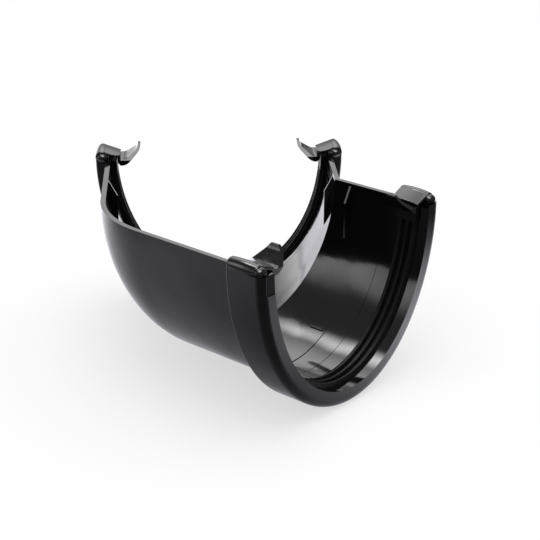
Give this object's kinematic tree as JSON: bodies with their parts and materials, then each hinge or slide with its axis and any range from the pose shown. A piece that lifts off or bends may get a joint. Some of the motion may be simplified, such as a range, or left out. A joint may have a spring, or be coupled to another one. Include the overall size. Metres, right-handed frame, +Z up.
{
  "type": "gutter angle",
  "caption": "Corner fitting for half-elliptical roof gutter, with a ribbed rubber seal and snap-in retaining clips at each socket.",
  "frame": {"origin": "point on the rim plane where the centre lines of the two gutter runs meet", "axes": "+Z up, the plane x = 0 is the mitre between the legs, the legs run to +X and -X and both towards +Y, and the outer corner points to -Y"},
  "size_m": [0.208, 0.156, 0.094],
  "materials": {
    "gloss_black_plastic": "gloss",
    "seal_rubber": "matte"
  },
  "bodies": {
    "root": {"angle_body": "gloss_black_plastic", "near_seal": "seal_rubber", "far_seal": "seal_rubber"}
  },
  "joints": []
}
